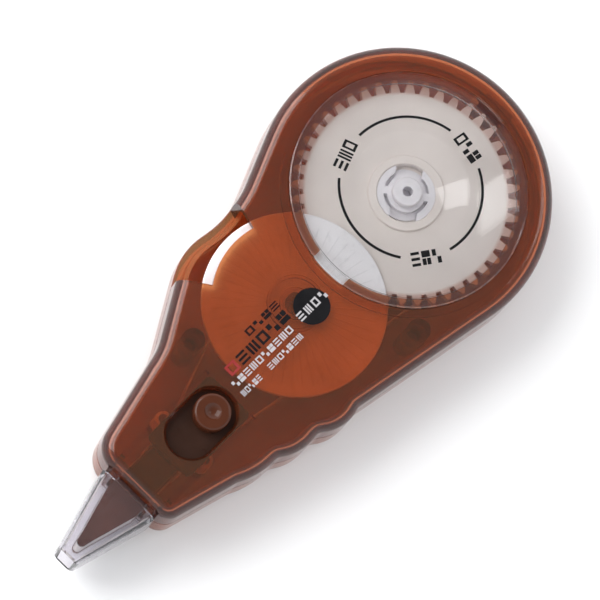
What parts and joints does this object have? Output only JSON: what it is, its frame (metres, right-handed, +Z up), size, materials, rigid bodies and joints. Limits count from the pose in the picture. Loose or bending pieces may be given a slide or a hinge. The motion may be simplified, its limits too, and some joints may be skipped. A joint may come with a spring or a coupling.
{
  "type": "correction tape roller",
  "caption": "Correction tape roller: translucent two-part shell, round window over geared tape spools, thumb cut-out, retracting applicator with slide button and clear nose guard.",
  "frame": {"origin": "under the middle of the whole roller, on the plane its rear shell rests on", "axes": "+X from the applicator tip to the round head, +Y to the side with the thumb cut-out, +Z up through the window, away from the rear shell"},
  "size_m": [0.1243, 0.0568, 0.0189],
  "materials": {
    "shell_front": "clear reddish-brown moulded plastic, glossy",
    "shell_rear": "clear reddish-brown moulded plastic, glossy",
    "lens": "clear polished plastic with a black printed dial ring",
    "guard": "clear polished plastic",
    "gear_cream": "cream acetal, satin",
    "core_white": "off-white plastic",
    "clutch_white": "white acetal, satin",
    "tape_white": "white correction film, wound, matt edge",
    "cap_white": "white plastic, glossy",
    "flange_white": "translucent white plastic with fine radial ribs",
    "pinion_white": "white acetal, satin",
    "take_up_white": "off-white plastic",
    "liner_white": "wound silicone paper liner, matt edge",
    "carriage_brown": "dark brown plastic, satin",
    "button_brown": "reddish-brown plastic, glossy",
    "tip_brown": "brown plastic, satin",
    "pin_brown": "dark brown plastic",
    "roller_white": "white acetal",
    "tape_film": "thin white correction film on liner",
    "liner_film": "thin translucent liner"
  },
  "bodies": {
    "root": {"rear_shell": "shell_rear", "front_shell": "shell_front", "window_lens": "lens", "nose_guard": "guard", "hub_cap": "cap_white", "feed_tape_run": "tape_film", "return_tape_run": "liner_film"},
    "supply_gear": {"supply_gear": "gear_cream"},
    "supply_spool": {"supply_core": "core_white", "clutch_spring": "clutch_white", "correction_tape_roll": "tape_white"},
    "take_up_spool": {"take_up_flange": "flange_white", "take_up_pinion": "pinion_white", "take_up_core": "take_up_white", "take_up_winding": "liner_white"},
    "slider": {"tip_carriage": "carriage_brown", "slider_button": "button_brown", "applicator_tip": "tip_brown", "applicator_pin": "pin_brown", "applicator_tape_loop": "tape_film"},
    "feed_roller": {"feed_guide_roller": "roller_white"},
    "return_roller": {"return_guide_roller": "roller_white"}
  },
  "joints": [
    {"name": "supply_gear_spin", "type": "hinge", "parent": "root", "child": "supply_gear", "pos_m": [0.03385, -0.0002, 0.0118], "axis": [0, 0, 1], "continuous": true},
    {"name": "clutch_slip", "type": "hinge", "parent": "supply_gear", "child": "supply_spool", "pos_m": [0.03385, -0.0002, 0.0079], "axis": [0, 0, 1], "continuous": true},
    {"name": "take_up_spin", "type": "hinge", "parent": "root", "child": "take_up_spool", "pos_m": [0.0025, -0.0002, 0.0118], "axis": [0, 0, 1], "continuous": true},
    {"name": "tip_slide", "type": "slide", "parent": "root", "child": "slider", "axis": [-1, 0, 0], "range_m": [0, 0.0058]},
    {"name": "feed_roller_spin", "type": "hinge", "parent": "root", "child": "feed_roller", "pos_m": [-0.0306, -0.0088, 0.0079], "axis": [0, 0, 1], "continuous": true},
    {"name": "return_roller_spin", "type": "hinge", "parent": "root", "child": "return_roller", "pos_m": [-0.0306, 0.0022, 0.0079], "axis": [0, 0, 1], "continuous": true}
  ],
  "couplings": [
    {"joint": "take_up_spin", "follows": "supply_gear_spin", "ratio": -2}
  ]
}
